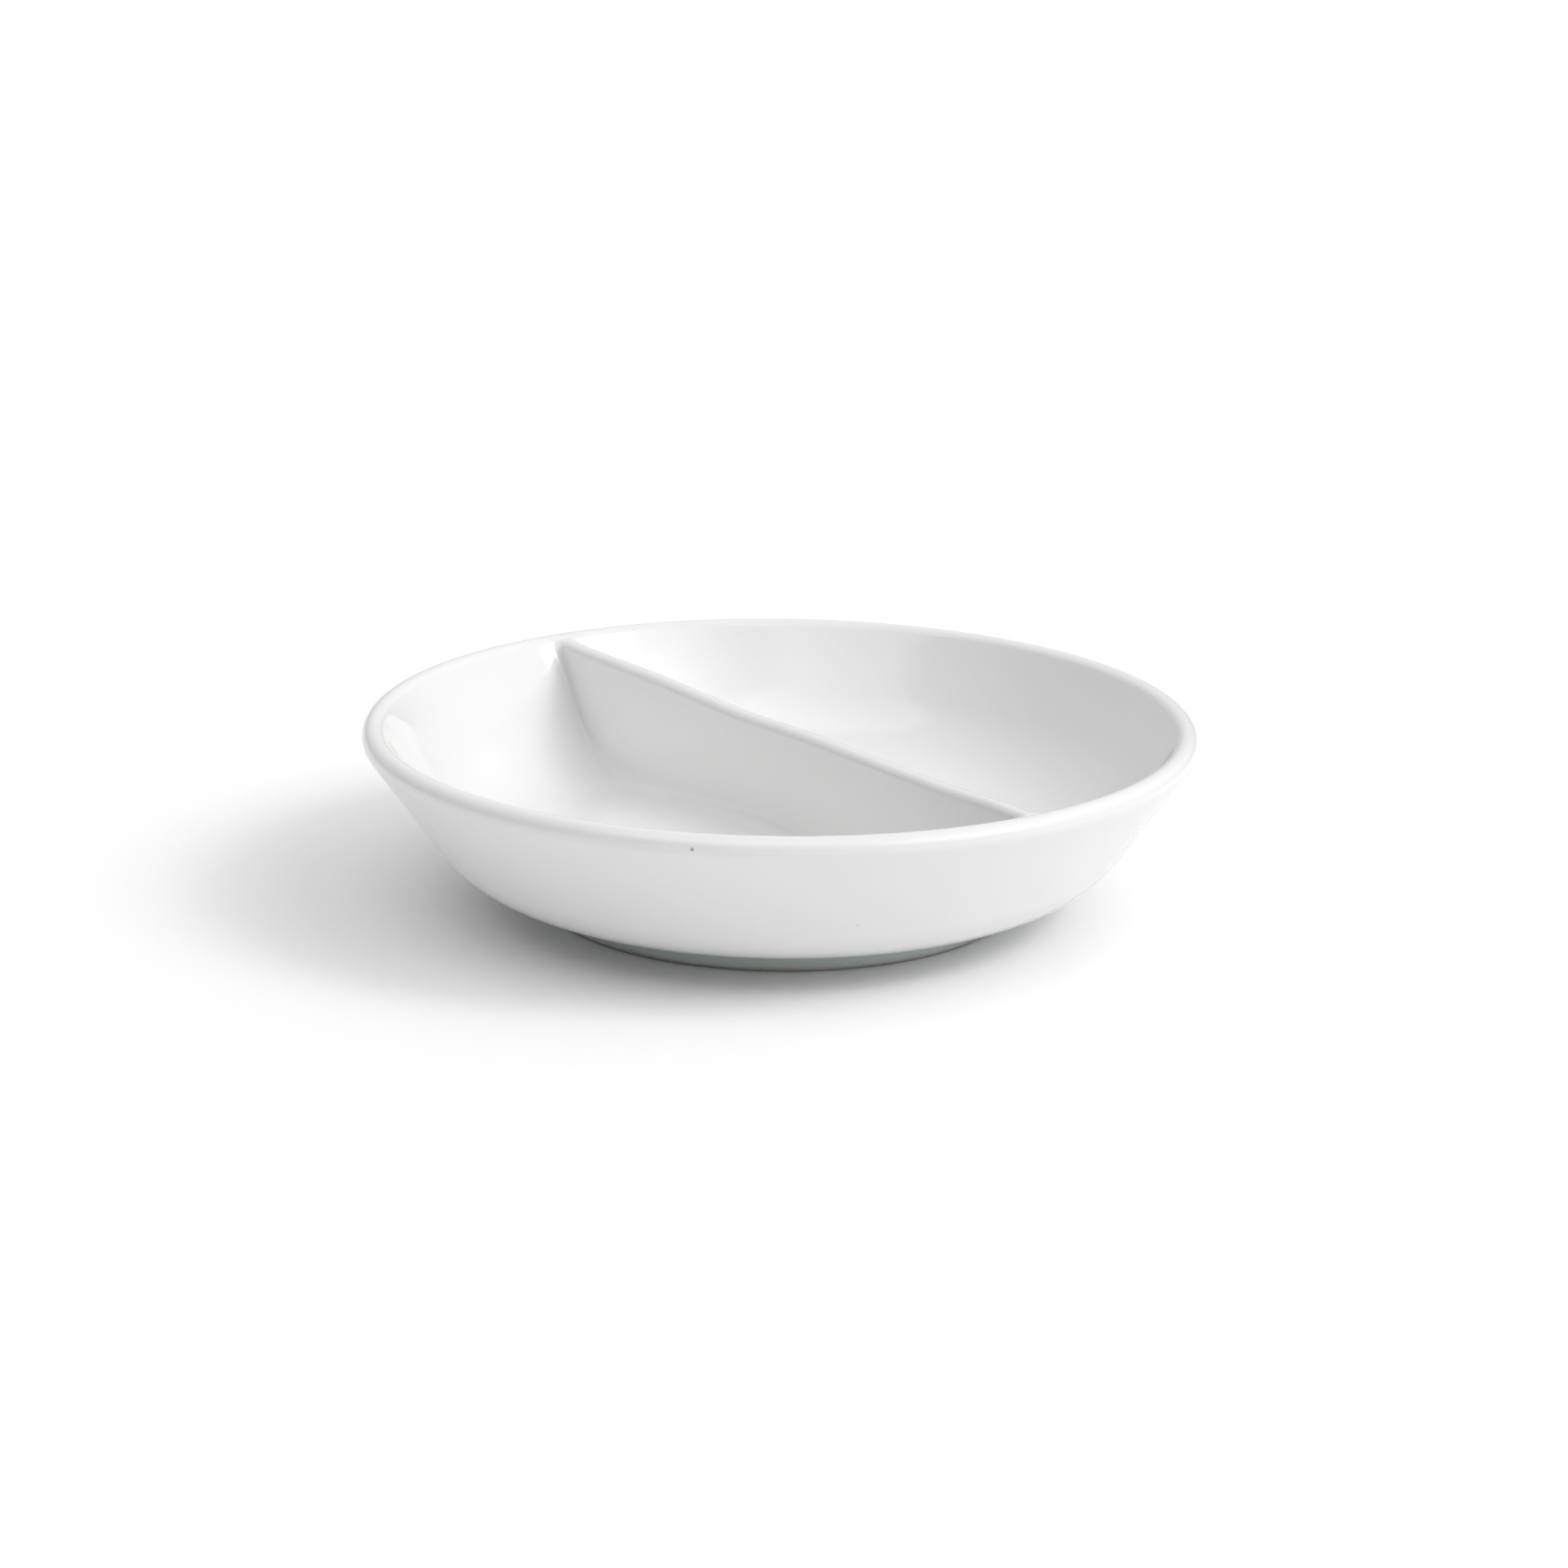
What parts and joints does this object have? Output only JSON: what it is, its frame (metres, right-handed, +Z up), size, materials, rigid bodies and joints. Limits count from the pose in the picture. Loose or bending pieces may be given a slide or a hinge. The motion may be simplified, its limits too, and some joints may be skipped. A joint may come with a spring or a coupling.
{
  "type": "sauce dish",
  "caption": "Round glazed porcelain sauce dish with a straight flared wall, an upright divider across its middle making two wells, and a low foot ring.",
  "frame": {"origin": "middle of the foot ring, on the plane that it stands on", "axes": "+Z up through the mouth of the dish, +X along the divider, +Y across it into the rear well"},
  "size_m": [0.1, 0.1, 0.0224],
  "materials": {
    "white_glaze": "gloss",
    "foot_porcelain": "glazed sides, bare standing face"
  },
  "bodies": {
    "root": {"bowl": "white_glaze", "divider": "white_glaze", "foot_ring": "foot_porcelain"}
  },
  "joints": []
}
